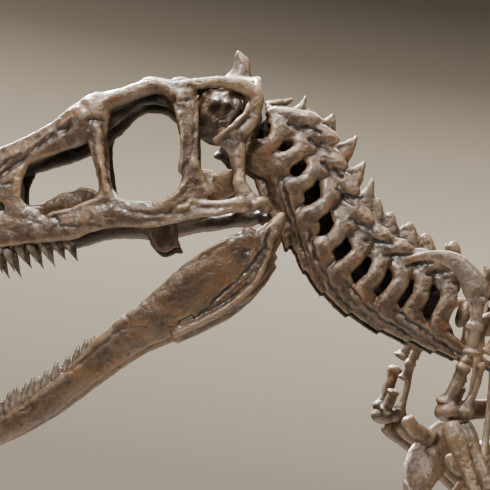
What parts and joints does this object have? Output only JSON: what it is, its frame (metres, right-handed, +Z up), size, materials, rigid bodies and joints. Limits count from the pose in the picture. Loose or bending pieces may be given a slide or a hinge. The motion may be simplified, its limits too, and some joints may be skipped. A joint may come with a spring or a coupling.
{
  "type": "mounted dromaeosaur skeleton",
  "caption": "Life-size mounted skeleton of a sickle-clawed theropod dinosaur, jaws open, standing mid-stride on a flat dark museum base.",
  "frame": {"origin": "centre of the underside of the stand's base", "axes": "+Z up, the head faces -X, the animal's left side faces -Y, +X along the length towards the tail"},
  "size_m": [3.0397, 0.62, 1.452],
  "materials": {
    "bone": "glossy mottled brown mineralised bone with dark recesses, rust patches and pale worn edges",
    "tooth": "smooth glossy grey-brown enamel",
    "stand_base": "satin dark painted board with softened edges"
  },
  "bodies": {
    "root": {"femur_left": "bone", "femur_right": "bone", "fibula_left": "bone", "fibula_right": "bone", "finger_1_left": "bone", "finger_1_right": "bone", "finger_2_left": "bone", "finger_2_right": "bone", "finger_3_left": "bone", "finger_3_right": "bone", "humerus_left": "bone", "humerus_right": "bone", "ilium_left": "bone", "ilium_right": "bone", "ischium": "bone", "lower_jaw": "bone", "metacarpus_left": "bone", "metacarpus_right": "bone", "metatarsus_left": "bone", "metatarsus_right": "bone", "neck": "bone", "pubis": "bone", "radius_left": "bone", "radius_right": "bone", "rib_cage_left": "bone", "rib_cage_right": "bone", "sacrum": "bone", "scapulocoracoid_left": "bone", "scapulocoracoid_right": "bone", "skull": "bone", "stand_base": "stand_base", "sternum": "bone", "tail_base": "bone", "tail_middle": "bone", "tail_rear": "bone", "tail_tip": "bone", "tibia_left": "bone", "tibia_right": "bone", "toe_1_left": "bone", "toe_1_right": "bone", "toe_2_left": "bone", "toe_2_right": "bone", "toe_3_left": "bone", "toe_3_right": "bone", "toe_4_left": "bone", "toe_4_right": "bone", "ulna_left": "bone", "ulna_right": "bone"}
  },
  "joints": []
}
